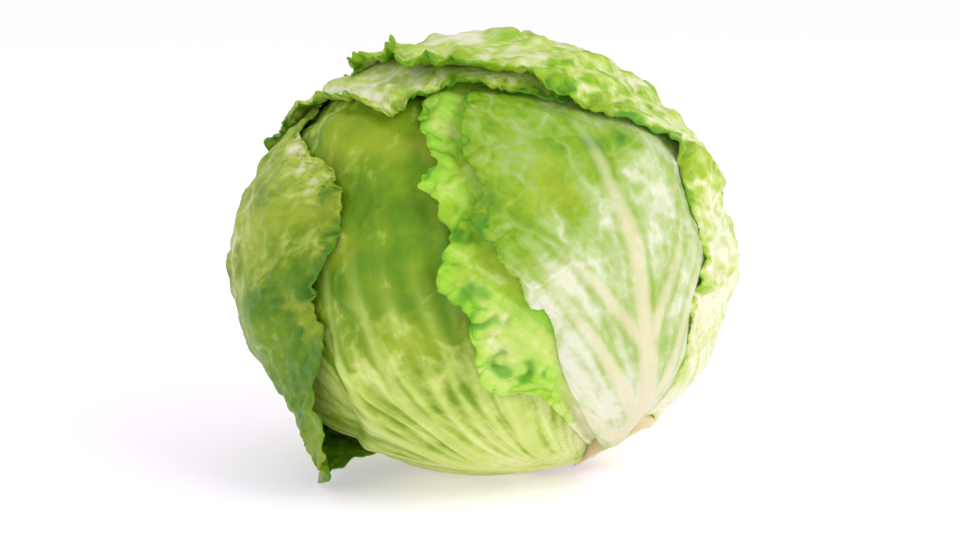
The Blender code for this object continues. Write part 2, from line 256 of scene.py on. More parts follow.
def leaf_directions(leaf, distance, bearing):
    """The directions at those distances and bearings: the reverse of spread()."""
    middle, base, right = leaf_frame(leaf)
    away = np.cos(bearing)[:, None] * base + np.sin(bearing)[:, None] * right
    return np.cos(distance)[:, None] * middle + np.sin(distance)[:, None] * away


def leaf_plane(leaf, directions):
    """The directions as flat points on the leaf, in metres, with its tip towards +Y."""
    distance, bearing = spread(leaf, directions)
    along = distance * MEAN_RADIUS
    return np.stack((along * np.sin(bearing), -along * np.cos(bearing)), axis=1)


def wander(angle, seed, waves):
    """A smooth closed ripple of about unit height, from a few sines of a full turn."""
    draw = np.random.RandomState(seed)
    total = np.zeros_like(angle)
    for count in waves:
        total += math.sqrt(2 / len(waves)) * np.sin(count * angle + draw.uniform(0, 2 * math.pi))
    return total


def ring_curve(values, angle):
    """A smooth closed curve through values spaced evenly round a full turn."""
    values = np.array(values, float)
    count = len(values)
    place = np.asarray(angle) / (2 * math.pi) * count % count
    before = np.floor(place).astype(int) % count
    after = (before + 1) % count
    t = place - np.floor(place)
    slope = (np.roll(values, -1) - np.roll(values, 1)) / 2
    rise = smooth_step(t) * (values[after] - values[before])
    bend = t * (1 - t) ** 2 * slope[before] - t * t * (1 - t) * slope[after]
    return values[before] + rise + bend


def stem_reach(leaf, bearing):
    """The distance from the leaf's middle to the side of the stem, in radians."""
    stem = math.cos(STEM_ROOM / MEAN_RADIUS)
    middle = math.radians(leaf.middle)
    straight, across = math.cos(middle), math.sin(middle) * np.cos(bearing)
    length = np.hypot(straight, across)
    half = np.arccos(np.clip(stem / length, -1, 1))
    near = np.arctan2(across, straight) - half
    return np.where((length >= stem) & (near > 0), near, math.pi)


def outline(leaf, bearing, ragged=0):
    """How far the leaf reaches from its middle at a bearing from its base, in radians."""
    degrees = np.degrees(bearing)
    reach = ring_curve(leaf.reaches, bearing) + CLASP_REACH * bump(degrees, 0, CLASP_WIDTH)
    unsteady = MARGIN_WANDER * smooth_step(np.abs(degrees) / STEADY_BASE)
    reach += unsteady * wander(bearing, leaf.seed, MARGIN_WAVES)
    for place, beyond, width in leaf.lobes:
        reach += beyond * bump(degrees, place, width)
    return np.minimum(np.radians(reach + ragged), stem_reach(leaf, bearing))


def cover(leaf, directions, keep, fall):
    """1 on the leaf and for keep metres outside its margin, then down to 0 over fall."""
    distance, bearing = spread(leaf, directions)
    outside = (distance - outline(leaf, bearing)) * MEAN_RADIUS
    return 1 - smooth_step((outside - keep) / fall)


def distance_to_place(leaf, directions, bearing, share):
    """How far each direction is from a place on the leaf, in metres."""
    turned = np.array([math.radians(bearing)])
    place = leaf_directions(leaf, outline(leaf, turned) * share, turned)[0]
    return np.arccos(np.clip(directions @ place, -1, 1)) * MEAN_RADIUS


# Ribs: a midrib that narrows to its tip, and pairs of side ribs that part from it, each pair at
# a share of its length and an angle
MIDRIB = 3.4 * MM
MIDRIB_HALF_WIDTH = 9 * MM
HIDDEN_MIDRIB = 1.3 * MM
SIDE_RIB = 2.6 * MM
SIDE_RIB_HALF_WIDTH = 7 * MM
SIDE_RIBS = ((0.02, 44), (0.12, 25), (0.34, 30))
SIDE_RIB_REACH = 0.7
RIB_FOOT = 10.6
RIB_LENGTH = 0.75
TIP = 4
RIB_NARROWS = 0.3
RIB_FALLS = 0.55
RIB_SHOWS = 0.85
RIB_FADE = 6 * MM


def ridge(points, start, end, half_width, height):
    """A rounded ridge along a line on the leaf, narrower and lower towards its end."""
    run = end - start
    share = np.clip((points - start) @ run / np.dot(run, run), 0, 1)
    off = np.linalg.norm(points - start - share[:, None] * run, axis=1)
    across = off / (half_width * (1 - RIB_NARROWS * share))
    return height * (1 - share) ** RIB_FALLS * np.exp(-(across**2))


def rib_line(leaf):
    """The two ends of the leaf's midrib, on its plane."""
    foot = head_direction(RIB_FOOT, leaf.rib)
    head = head_direction(leaf.middle + RIB_LENGTH * leaf.reaches[TIP], leaf.rib_tip)
    return leaf_plane(leaf, np.stack((foot, head)))


def rib_height(leaf, directions, slimmer=1):
    """The raised midrib, with side ribs that part from it, from the stem towards the tip."""
    points = leaf_plane(leaf, directions)
    start, end = rib_line(leaf)
    height = ridge(points, start, end, MIDRIB_HALF_WIDTH * slimmer, midrib_height(leaf))
    for share, angle in SIDE_RIBS[: leaf.side_ribs]:
        root = start + share * (end - start)
        left_to_run = (1 - share) * SIDE_RIB_REACH * (end - start)
        for turn in (-math.radians(angle), math.radians(angle)):
            towards = np.array(((math.cos(turn), math.sin(turn)), (-math.sin(turn), math.cos(turn))))
            tip = root + towards @ left_to_run
            side = ridge(points, root, tip, SIDE_RIB_HALF_WIDTH * slimmer, SIDE_RIB * (1 - share / 2))
            height = np.maximum(height, side)
    return height


def midrib_height(leaf):
    """The midrib's height at its foot: low on the leaves that have no side ribs."""
    return MIDRIB if leaf.side_ribs else HIDDEN_MIDRIB


def shown_ribs(leaf, outer, directions):
    """The relief of the ribs of this leaf and those outside it, each where it isn't covered."""
    total = np.zeros(len(directions))
    seen = np.ones(len(directions))
    for one in outer + [leaf]:
        shape = cover(one, directions, 0, RIB_FADE)
        if one.side_ribs:
            total += RIB_SHOWS * seen * shape * rib_height(one, directions)
        seen *= 1 - shape
    return total


# How the layers lie on each other
BLADE = 1.1 * MM
LAYER_GAP = 0.8 * MM
PRESSED_ROUND = 1.5 * MM
PRESSED_FALL = 9 * MM


def depth_under(outer, directions):
    """How far the leaves outside press a layer in below the head's outer surface."""
    total = np.zeros(len(directions))
    for leaf in outer:
        thick = BLADE + rib_height(leaf, directions) + LAYER_GAP
        total += thick * cover(leaf, directions, PRESSED_ROUND, PRESSED_FALL)
    return total


def freedom(outer, directions, keep, fall):
    """1 where no outer leaf holds this one down, and 0 under one or close beside it."""
    free = np.ones(len(directions))
    for leaf in outer:
        free *= 1 - cover(leaf, directions, keep, fall)
    return free


@dataclass
class Look:
    """How a leaf looks. Its tones run from 0 cream to 1 pale, 2 green and 3 deep green."""

    lifts: tuple  # a ring: how far the margin stands off, from 0 to 1
    tones: tuple  # a ring: the margin's tone
    centre: float  # the middle's tone
    crinkled: tuple  # a ring: how crinkled the margin is
    teeth: float  # how ragged the outline is, in degrees
    frill: float  # the height of the large frills
    ruffle: float  # the height of the small ones
    crumple: float  # the height of the puffs between the veins
    blister: float  # the height of the blisters on the puffs
    fan: float  # the height of the long ribs that fan out from the foot
    fan_ribs: int  # how many of those stand in a radian
    smooth_base: float  # how far from its foot the leaf stays smooth
    curls: tuple = ()  # each a bearing, a width and a strength
    shaded_hollows: tuple = ()  # each a bearing, a share and a size in millimetres of a dent with painted shade in it
    hang: tuple = ()  # a loose corner: its bearing, half width, the zone that stands off, how far
    stains: tuple = ()  # each a bearing, a share, a size in millimetres and a change of tone


@dataclass
class Places:
    """Every place on a leaf."""

    bearing: np.ndarray  # from the base, in radians
    share: np.ndarray  # of the way from the middle to the margin
    distance: np.ndarray  # from the middle, in radians
    directions: np.ndarray  # from the middle of the head
    points: np.ndarray  # on the flat leaf
    inside: np.ndarray  # how far it is from the margin
    angle: np.ndarray  # from the midrib, seen from the foot
    far: np.ndarray  # how far it is from the foot


# Noise for all that is uneven. Fields of different seeds lie well apart in it.
SEEDS_APART = 7.31
CELL_SEEDS_APART = 3.7
TO_UNIT_HEIGHT = 1.6
PATCHY_MIDDLE = 0.75
PATCHY_SWING = 0.5


def grain(points, size, seed):
    """Smooth noise from -1 to 1, in patches of about that size."""
    third = points[:, 2] if points.shape[1] == 3 else np.zeros(len(points))
    places = zip(points[:, 0] / size, points[:, 1] / size, third / size + seed * SEEDS_APART)
    return TO_UNIT_HEIGHT * np.array([noise.noise(place) for place in places])


def grains(points, layers, seed):
    """Noise of several sizes added up. Each layer has a height, a size and a seed of its own."""
    return sum(height * grain(points, size, seed + own) for height, size, own in layers)


def patchy(points, size, seed):
    """A strength that comes and goes in patches of about that size."""
    return PATCHY_MIDDLE + PATCHY_SWING * grain(points, size, seed)


def cell_gaps(points, size, seed):
    """How far each point is from the wall of its cell: 0 on it, and about 0.5 well inside."""
    gaps = []
    for x, y in points:
        near = noise.voronoi((x / size, y / size, seed * CELL_SEEDS_APART))[0]
        gaps.append(near[1] - near[0])
    return np.array(gaps)


def round_margin(bearing, inside=0):
    """Places round the margin as points on a ring of the head's size, for noise along it."""
    around = np.stack((np.cos(bearing), np.sin(bearing)), axis=1) * MEAN_RADIUS
    return np.column_stack((around, inside + np.zeros(len(bearing))))


def near_margin(at, zone):
    """1 at the margin, down to 0 at that distance inside it."""
    return np.clip(1 - at.inside / zone, 0, 1)


# The outline: bites of three sizes all round but at the base, which the stem holds, and the
# deep teeth of a hanging corner
BITES = ((0.7, 19 * MM, 7), (0.45, 8 * MM, 8), (0.3, 3.5 * MM, 9))
TOOTH = 4.5
TOOTH_SIZE = 5.5 * MM
TORN_AWAY = 1.5
HELD_BASE = 23
HELD_FALL = 29


def clear_of_base(bearing):
    """0 at the leaf's base, and 1 round the rest of its margin."""
    return smooth_step((np.abs(np.degrees(bearing)) - HELD_BASE) / HELD_FALL)


def hanging(look, bearing):
    """1 in the middle of a corner that hangs down, and 0 outside it."""
    if not look.hang:
        return np.zeros(len(bearing))
    place, width = look.hang[:2]
    return 1 - smooth_step(np.abs(np.degrees(bearing) - place) / width)


def raggedness(leaf, look, bearing):
    """How far the bitten and torn edge goes beyond the leaf's smooth outline, in degrees."""
    around = round_margin(bearing)
    bites = grains(around, BITES, leaf.seed)
    torn = TOOTH * grain(around, TOOTH_SIZE, leaf.seed + 10) - TORN_AWAY
    return look.teeth * bites * clear_of_base(bearing) + hanging(look, bearing) * torn


def places_on(leaf, look, bearing, share):
    """The places at those bearings and shares of the way to the leaf's ragged margin."""
    reach = outline(leaf, bearing, raggedness(leaf, look, bearing))
    distance = share * reach
    directions = leaf_directions(leaf, distance, bearing)
    points = leaf_plane(leaf, directions)
    start, end = rib_line(leaf)
    run = unit(end - start)
    along = (points - start) @ run
    across = (points - start) @ np.array((run[1], -run[0]))
    angle, far = np.arctan2(across, along), np.hypot(across, along)
    inside = (reach - distance) * MEAN_RADIUS
    return Places(bearing, share, distance, directions, points, inside, angle, far)


# The margin: a slow lift, waves, frills of two sizes that grow to the edge, a corner that falls
# outwards, and a rim that is pressed down where nothing lifts it
LIFT = 2.4 * MM
LIFT_ZONE = 20 * MM
WAVE = 3.2 * MM
WAVE_ZONE = 13 * MM
WAVES_ROUND = 15
WAVE_DRIFT = 1.5
DRIFT_WAVES = (2, 3, 5)
FRILL_ZONE = 9 * MM
FRILL_SIZE = 6.5 * MM
RUFFLE_SIZE = 3 * MM
FRILL_RISE = 0.5
FRILL_SWING = 0.9
FRILL_RUN = 0.6
FRILL_WHERE_FLAT = 0.35
RIM_PRESS = 1.7 * MM
PRESS_FROM = 8
PRESS_FALL = 12


def margin_height(leaf, look, at):
    """How far the margin stands off the head."""
    near, near_frill = near_margin(at, LIFT_ZONE), near_margin(at, FRILL_ZONE)
    drift = WAVE_DRIFT * wander(at.bearing, leaf.seed + 50, DRIFT_WAVES)
    wave = 0.5 + 0.5 * np.sin(WAVES_ROUND * at.bearing + drift)
    around = round_margin(at.bearing, FRILL_RUN * at.inside)
    frill = FRILL_RISE + FRILL_SWING * grain(around, FRILL_SIZE, leaf.seed)
    ruffle = FRILL_RISE + FRILL_SWING * grain(around, RUFFLE_SIZE, leaf.seed + 1)
    lifted = np.clip(ring_curve(look.lifts, at.bearing), 0, 1)
    height = (LIFT * near**2 + WAVE * near_margin(at, WAVE_ZONE) ** 2 * wave) * lifted
    frilled = look.frill * near_frill**1.5 * frill + look.ruffle * near_frill**2 * ruffle
    height += frilled * (FRILL_WHERE_FLAT + (1 - FRILL_WHERE_FLAT) * lifted)
    if look.hang:
        zone, out = look.hang[2:]
        height += out * hanging(look, at.bearing) * near_margin(at, zone) ** 2
    pressed = smooth_step((np.abs(np.degrees(at.bearing)) - PRESS_FROM) / PRESS_FALL)
    return height * clear_of_base(at.bearing) - RIM_PRESS * near**2 * (1 - lifted) * pressed


# Long low ribs that fan out from the foot. They waver, are uneven, and fade far out.
FAN_WAVERS = ((0.3, 30 * MM, 0), (0.8, 55 * MM, 1))
FAN_SHARPNESS = 2.2
FAN_EVEN = 0.55
FAN_PATCH = 25 * MM
FAN_STARTS = 22 * MM
FAN_FADES_FROM = 90 * MM
FAN_FADE = 60 * MM
FAN_SUNK = 0.4


def fanned_ribs(leaf, look, at):
    """1 along the middle of each long rib, and 0 between them."""
    rows = at.angle * look.fan_ribs + grains(at.points, FAN_WAVERS, leaf.seed)
    fan = smooth_step(1 - FAN_SHARPNESS * np.abs(np.mod(rows, 1) - 0.5))
    fan *= FAN_EVEN + (1 - FAN_EVEN) * grain(at.points, FAN_PATCH, leaf.seed + 5)
    fading = 1 - smooth_step((at.far - FAN_FADES_FROM) / FAN_FADE)
    return fan * (smooth_step(at.far / FAN_STARTS) * fading)


# Puffs between the veins: cells with wavering walls, longer along the leaf than across it, and
# fine cells that part them again. A vein's width is a share of its cell.
CELL = 12 * MM
FINE_CELL = 4.6 * MM
CELL_SQUEEZE = (1.4, 0.75)
CELLS_WIDEN_TO = 70 * MM
WALL_WAVERS = ((3 * MM, 14 * MM, (1, 2)), (1.2 * MM, 5 * MM, (3, 4)))
VEIN = 0.17
FINE_VEIN = 0.38
PUFF_SIDE = 0.65
PUFFS_GROW = 45 * MM
PUFF_PATCH = 24 * MM
PUFF_SUNK = 0.25
FOLD = 0.35
FOLD_SIZE = 9 * MM
DEEPEST_FOLD = -0.2
BLISTER_SHARE = 0.4


def vein_cells(leaf, look, at):
    """The height of the puffs and blisters, and the coarse and the fine net of veins."""
    across = at.angle * np.minimum(at.far, CELLS_WIDEN_TO)
    cells = np.stack((across, at.far), axis=1) * CELL_SQUEEZE
    for amount, size, seeds in WALL_WAVERS:
        cells += amount * np.stack([grain(at.points, size, seed) for seed in seeds], axis=1)
    gaps = cell_gaps(cells, CELL, leaf.seed)
    net = 1 - smooth_step(gaps / VEIN)
    fine_net = 1 - smooth_step(cell_gaps(cells, FINE_CELL, leaf.seed + 9) / FINE_VEIN)
    puffs = smooth_step(gaps / PUFF_SIDE) * patchy(at.points, PUFF_PATCH, leaf.seed + 2) - PUFF_SUNK
    folds = np.maximum(puffs + FOLD * grain(at.points, FOLD_SIZE, leaf.seed + 3), DEEPEST_FOLD)
    blisters = BLISTER_SHARE * look.blister * (1 - fine_net)
    beyond_base = smooth_step((at.far - look.smooth_base) / PUFFS_GROW)
    height = (blisters + look.crumple * folds) * beyond_base
    return height, net * beyond_base, fine_net * beyond_base


# Sharp creases along the margin, and small curled hollows that look down between the leaves. Shade is
# painted dark along the creases and in the hollows, and less on the hollows' curled edges.
CRINKLE = 2.2 * MM
CRINKLE_SIZE = 5.5 * MM
CRINKLE_ZONE = 17 * MM
CRINKLE_SUNK = 0.1
CREASE_WIDTH = 0.16
HOLLOW_DEPTH = 0.8 * MM
HOLLOW_WAVER = 3.5 * MM
HOLLOW_WAVER_SIZE = 4.5 * MM
CURLED_EDGE = 3.2 * MM
CURLED_EDGE_SIZE = 6 * MM
FULLEST_HOLLOW_SHADE = 1.25
CURL_LESS_SHADED = 1.6
LEAST_HOLLOW_SHADE = 0.1


def creases(leaf, look, at):
    """The height of the crinkled rim, and 1 along its creases, where shade is painted."""
    crinkle = np.abs(grain(at.points, CRINKLE_SIZE, leaf.seed + 40))
    rim = near_margin(at, CRINKLE_ZONE) * np.clip(ring_curve(look.crinkled, at.bearing), 0, None)
    return CRINKLE * (crinkle - CRINKLE_SUNK) * rim, smooth_step(1 - crinkle / CREASE_WIDTH) * rim


def shaded_hollows(leaf, look, at):
    """The height of the hollows with their curled edges, and how much shade is painted in them: less
    on the curled edges.
    """
    hollow = np.zeros(len(at.points))
    for bearing, share, size in look.shaded_hollows:
        off = distance_to_place(leaf, at.directions, bearing, share)
        off += HOLLOW_WAVER * grain(at.points, HOLLOW_WAVER_SIZE, leaf.seed + 12)
        hollow = np.maximum(hollow, np.exp(-((off / (size * MM)) ** 2)))
    curled = np.abs(grain(at.points, CURLED_EDGE_SIZE, leaf.seed + 13))
    height = CURLED_EDGE * curled * np.sqrt(hollow) - HOLLOW_DEPTH * hollow
    return height, hollow * np.clip(FULLEST_HOLLOW_SHADE - CURL_LESS_SHADED * curled, LEAST_HOLLOW_SHADE, 1)


# A part of the margin can roll outwards and back over the leaf
ROLL_LENGTH = 7 * MM
ROLL_RADIUS = 2.6 * MM
ROLL_PATCH = 13 * MM
FULLEST_ROLL = 1.3
SHORT_STEP = 0.02
BARELY_FREE = 0.01


def roll_back(placed, leaf, look, at, free):
    """The placed points with the curls of the margin rolled back."""
    inner = leaf_directions(leaf, at.distance - SHORT_STEP, at.bearing)
    inwards = inner * HALF_SIZES - at.directions * HALF_SIZES
    inwards /= np.linalg.norm(inwards, axis=1)[:, None]
    strength = np.zeros(len(placed))
    for middle, width, amount in look.curls:
        strength += amount * bump(np.degrees(at.bearing), middle, width)
    strength *= patchy(round_margin(at.bearing), ROLL_PATCH, leaf.seed + 20)
    length = ROLL_LENGTH * np.clip(strength, 0, FULLEST_ROLL)
    along = np.clip(length - at.inside / np.maximum(free, BARELY_FREE), 0, None)
    turn = along / ROLL_RADIUS
    back = along - ROLL_RADIUS * np.sin(turn)
    lift = ROLL_RADIUS * (1 - np.cos(turn))
    return placed + inwards * back[:, None] + outward(at.directions) * lift[:, None]


# A leaf's tone runs from its middle to its margin, in soft patches, with stains laid over it
TONE_RUN = 1.2
TONE_PATCHES = ((0.4, 26 * MM, 30), (0.3, 11 * MM, 31))
STAIN_WAVER = 6 * MM
STAIN_WAVER_SIZE = 12 * MM
DARKEST_STAIN = 2.2


def leaf_tone(leaf, look, at):
    """The tone of every place: 0 cream, 1 pale, 2 green, 3 deep green."""
    weight = at.share**TONE_RUN
    tone = look.centre * (1 - weight) + ring_curve(look.tones, at.bearing) * weight
    tone += grains(at.points, TONE_PATCHES, leaf.seed)
    for bearing, share, size, change in look.stains:
        off = distance_to_place(leaf, at.directions, bearing, share)
        off += STAIN_WAVER * grain(at.points, STAIN_WAVER_SIZE, leaf.seed + 14)
        stain = change * np.exp(-((off / (size * MM)) ** 2))
        tone += stain * np.clip(DARKEST_STAIN - tone, 0, 1)
    return tone


# Laying a leaf: where it lifts and crumples freely, and how its edge thins
LIFTS_CLEAR = (4 * MM, 14 * MM)
CRUMPLES_CLEAR = (0, 5 * MM)
REST_ZONE = 0.3
PAINTED_RIB = 0.45
EDGE_ZONE = 9 * MM
THIN_EDGE = 0.5
THIN_ZONE = 10 * MM
SHEET = 100 * MM


def rounded_sheet(node, cells):
    """A new flat grid, and its points drawn out into a disc as bearings and shares of its radius."""
    bpy.ops.object.select_all(action="DESELECT")
    bpy.ops.mesh.primitive_grid_add(x_subdivisions=cells, y_subdivisions=cells, size=2)
    blade = bpy.context.object
    blade.name = node.replace("leaf", "blade")
    flat = np.empty(len(blade.data.vertices) * 3)
    blade.data.vertices.foreach_get("co", flat)
    a, b = flat.reshape(-1, 3)[:, 0], flat.reshape(-1, 3)[:, 1]
    x, y = a * np.sqrt(1 - b * b / 2), b * np.sqrt(1 - a * a / 2)
    return blade, np.arctan2(x, -y), np.hypot(x, y)


def write_fields(mesh, fields, sheets):
    """Stores fields as attributes and sheets as UV maps, for the leaf's material to read."""
    for key, values in fields.items():
        field = mesh.attributes.new(key, "FLOAT", "POINT")
        field.data.foreach_set("value", values.astype(np.float32))
    corners = np.empty(len(mesh.loops), dtype=np.int32)
    mesh.loops.foreach_get("vertex_index", corners)
    mesh.uv_layers.remove(mesh.uv_layers[0])
    for key, places in sheets.items():
        sheet = mesh.uv_layers.new(name=key)
        sheet.uv.foreach_set("vector", places[corners].astype(np.float32).ravel())


def thicken(blade, leaf, at):
    """Gives the blade its thickness inwards: full at the ribs, and thin at the edge."""
    thick = BLADE + rib_height(leaf, at.directions)
    thick = thick * (1 - THIN_EDGE * near_margin(at, THIN_ZONE))
    weights = blade.vertex_groups.new(name="thickness")
    for index, amount in enumerate(thick / thick.max()):
        weights.add([index], float(amount), "REPLACE")
    shell = blade.modifiers.new("thickness", "SOLIDIFY")
    shell.thickness = thick.max()
    shell.offset = -1
    shell.vertex_group = "thickness"
    bpy.ops.object.modifier_apply(modifier="thickness")
    bpy.ops.object.shade_smooth()


def lay_leaf(node, leaf, outer, look, finish):
    """One wrapper: a rounded sheet laid over the head, frilled, veined and thickened inwards."""
    blade, bearing, share = rounded_sheet(node, leaf.cells)
    at = places_on(leaf, look, bearing, share)
    free = freedom(outer, at.directions, *LIFTS_CLEAR)
    bare = freedom(outer, at.directions, *CRUMPLES_CLEAR)
    depth = depth_under(outer, at.directions)
    fan = fanned_ribs(leaf, look, at)
    puffed, net, fine_net = vein_cells(leaf, look, at)
    crinkled, crease = creases(leaf, look, at)
    sunk, hollow = shaded_hollows(leaf, look, at)
    relief = puffed + look.fan * (fan - FAN_SUNK) + crinkled + sunk
    form = swell(at.directions) + shown_ribs(leaf, outer, at.directions) + relief * bare
    above_rest = smooth_step((at.directions[:, 2] + 1) / REST_ZONE)
    height = form * above_rest + (margin_height(leaf, look, at) * free - depth)
    placed = on_head(at.directions, height, depth)
    if look.curls:
        placed = roll_back(placed, leaf, look, at, free)
    blade.data.vertices.foreach_set("co", placed.ravel())

    fields = {
        "tone": leaf_tone(leaf, look, at),
        "rib": rib_height(leaf, at.directions, PAINTED_RIB) / midrib_height(leaf),
        "edge": near_margin(at, EDGE_ZONE),
        "fan": fan,
        "net": net,
        "fine_net": fine_net,
        "hollow": hollow,
        "crease": crease,
    }
    fan_sheet = np.stack((at.angle, at.far / SHEET), axis=1)
    write_fields(blade.data, fields, {"leaf": at.points / SHEET, "fan_sheet": fan_sheet})
    thicken(blade, leaf, at)
    blade.data.materials.append(finish)
    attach(blade, "root")
    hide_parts(node)
    outer.append(leaf)


class Field:
    """A socket of a material. Arithmetic on it adds Math nodes, and node() adds any other."""

    def __init__(self, tree, socket=None):
        self.tree = tree
        self.socket = socket

    def node(self, kind, settings, inputs, output=0):
        made = self.tree.nodes.new(kind)
        for name, value in settings.items():
            setattr(made, name, value)
        for name, value in inputs.items():
            if isinstance(value, Field):
                self.tree.links.new(value.socket, made.inputs[name])
            else:
                made.inputs[name].default_value = value
        return Field(self.tree, made.outputs[output])

    def maths(self, operation, *values):
        return self.node("ShaderNodeMath", {"operation": operation}, dict(enumerate(values)))

    def __add__(self, other):
        return self.maths("ADD", self, other)

    def __radd__(self, other):
        return self.maths("ADD", other, self)

    def __sub__(self, other):
        return self.maths("SUBTRACT", self, other)

    def __rsub__(self, other):
        return self.maths("SUBTRACT", other, self)

    def __mul__(self, other):
        return self.maths("MULTIPLY", self, other)

    def __rmul__(self, other):
        return self.maths("MULTIPLY", other, self)

    def step(self, low, high):
        """0 below low, 1 above high, and an S curve between."""
        settings = {"interpolation_type": "SMOOTHSTEP"}
        inputs = {"Value": self, "From Min": low, "From Max": high}
        return self.node("ShaderNodeMapRange", settings, inputs)

    def ramp(self, low, high):
        """0 below low, 1 above high, and a straight rise between."""
        inputs = {"Value": self, "From Min": low, "From Max": high}
        return self.node("ShaderNodeMapRange", {"clamp": True}, inputs)

    def blend(self, first, second):
        """first where this field is 0, second where it is 1."""
        return self.node("ShaderNodeMix", {"data_type": "RGBA"}, {0: self, 6: first, 7: second}, 2)

    def attribute(self, name):
        return self.node("ShaderNodeAttribute", {"attribute_name": name}, {}, 2)

    def sheet(self, name):
        """The leaf's flat sheet of that name, which is a UV map."""
        return self.node("ShaderNodeUVMap", {"uv_map": name}, {})

    def solid(self):
        """The place in the solid, in metres."""
        return self.node("ShaderNodeTexCoord", {}, {}, 3)

    def stretch(self, sheet, scale):
        return self.node("ShaderNodeVectorMath", {"operation": "MULTIPLY"}, {0: sheet, 1: scale})

    def cloud(self, place, scale, detail=3.0, dimensions="2D"):
        """Noise of about 0 to 1."""
        inputs = {"Vector": place, "Scale": scale, "Detail": detail}
        return self.node("ShaderNodeTexNoise", {"noise_dimensions": dimensions}, inputs)

    def bumps(self, strength, depth):
        """The field as a relief of that depth."""
        inputs = {"Height": self, "Strength": strength, "Distance": depth}
        return self.node("ShaderNodeBump", {}, inputs)

    def feed(self, shader, name):
        self.tree.links.new(self.socket, shader.inputs[name])


def translucent(shader, weight, reaches, scale):
    """Lets light a little way into the leaf or stem, each colour to its own depth."""
    shader.inputs["Subsurface Weight"].default_value = weight
    shader.inputs["Subsurface Radius"].default_value = reaches
    shader.inputs["Subsurface Scale"].default_value = scale


# Leaf colours at tones 0 to 3, the gold of its patches and the pale colour of its ribs. Patterns
# are counted on a sheet of 100 mm, and a pair of values is where a change starts and ends.
CREAM = (0.84, 0.84, 0.60, 1)
PALE = (0.56, 0.69, 0.17, 1)
GREEN = (0.27, 0.50, 0.015, 1)
# DEEP is the leaf's own deep green, and also the colour that the painted shade in its creases and
# hollows turns to.
DEEP = (0.07, 0.25, 0.012, 1)
GOLD = (0.42, 0.50, 0.03, 1)
RIB = (0.80, 0.80, 0.50, 1)
STREAKS = (26.0, 3.4, 1.0)
BLOTCHES = 9.0
FLECKS = 34.0
PORES = 90.0
GOLD_PATCHES = 3.1
BLOTCH_TONE = 1.3
FLECK_TONE = 0.9
RIB_SIDE_SHADE_TONE = 0.35
CREASE_SHADE_TONE = 1.3
ALL_OVER = 0.15
FINE_VEIN_SHARE = 0.6
RIB_FOOT_EDGE = (0.05, 0.2)
RIB_TOP_EDGE = (0.25, 0.5)
RIB_PALES = (0.1, 0.75)
RIB_PALE_SHARE = 0.85
FAN_PALE_SHARE = 0.35
GOLD_TONES = (0.8, 1.8)
GOLD_EDGE = (0.45, 0.75)
GOLD_SHARE = 0.55
HOLLOW_SHADE_EDGE = (0.1, 0.9)
HOLLOW_SHADE_SHARE = 0.8
WAX_ROUGHNESS = 0.42
WAX_UNEVEN = 0.3
WAX_SHINE = 0.16
FLECK_RELIEF = 0.5
STREAK_RELIEF = 0.6
PORE_RELIEF = 0.3
LEAF_GRAIN = 0.8 * MM
GRAIN_STRENGTH = 0.55
LIGHT_ENTERS = 0.25
LIGHT_REACHES = (0.7, 1.0, 0.25)
LIGHT_DEPTH = 3 * MM


def leaf_finish(
    name,
    cream=CREAM,
    pale=PALE,
    green=GREEN,
    deep=DEEP,
    rib=RIB,
    veins=0.5,
    streaks=1.7,
    fans=0.5,
    rim_green_and_shade=0.5,
):
    """Waxy leaf: cream and streaked at the base, then pale, green and blotched, with painted shade in
    its creases and hollows and along its ribs' sides, and a deeper green margin with painted shade
    along it.
    """
    finish, shader = new_finish(name)
    paint = Field(finish.node_tree)
    sheet, fan_sheet = paint.sheet("leaf"), paint.sheet("fan_sheet")
    streak = paint.cloud(paint.stretch(fan_sheet, STREAKS), 1.0, 4.0) - 0.5
    blotch = paint.cloud(sheet, BLOTCHES, 5.0) - 0.5
    fleck = paint.cloud(sheet, FLECKS, 6.0) - 0.5
    ridge_share = paint.attribute("rib")
    # Painted shade: a darker band along the foot of each rib's sides.
    rib_side_shade = ridge_share.step(*RIB_FOOT_EDGE) * (1 - ridge_share.step(*RIB_TOP_EDGE))
    net, fine_net = paint.attribute("net"), paint.attribute("fine_net")
    fan, edge = paint.attribute("fan"), paint.attribute("edge")

    tone = paint.attribute("tone") + streak * streaks + blotch * BLOTCH_TONE + fleck * FLECK_TONE
    # Along the margin the tone deepens: partly the leaf's own deeper green, and partly painted shade
    # along its edges.
    tone = tone + edge * edge * rim_green_and_shade - net * veins - fine_net * veins * FINE_VEIN_SHARE
    tone = tone - fan * fans + rib_side_shade * RIB_SIDE_SHADE_TONE + ALL_OVER
    # Painted shade along the creases of the crinkled rim.
    tone = tone + paint.attribute("crease") * CREASE_SHADE_TONE
    colour = tone.ramp(0.0, 1.0).blend(cream, pale)
    colour = tone.ramp(1.0, 2.0).blend(colour, green)
    colour = tone.ramp(2.0, 3.0).blend(colour, deep)
    colour = (fan * fans * FAN_PALE_SHARE).blend(colour, pale)
    golden = (paint.cloud(sheet, GOLD_PATCHES) * tone.step(*GOLD_TONES)).step(*GOLD_EDGE)
    colour = (golden * GOLD_SHARE).blend(colour, GOLD)
    colour = (ridge_share.step(*RIB_PALES) * RIB_PALE_SHARE).blend(colour, rib)
    # Painted shade in the hollows: the deep green blended in, less on their curled edges.
    hollow = paint.attribute("hollow").step(*HOLLOW_SHADE_EDGE)
    colour = (hollow * HOLLOW_SHADE_SHARE).blend(colour, deep)
    colour.feed(shader, "Base Color")
    (WAX_ROUGHNESS + WAX_UNEVEN * fleck).feed(shader, "Roughness")
    height = fleck * FLECK_RELIEF + streak * STREAK_RELIEF
    height = height + paint.cloud(sheet, PORES) * PORE_RELIEF
    height.bumps(GRAIN_STRENGTH, LEAF_GRAIN).feed(shader, "Normal")
    translucent(shader, LIGHT_ENTERS, LIGHT_REACHES, LIGHT_DEPTH)
    shader.inputs["Specular IOR Level"].default_value = WAX_SHINE
    return finish


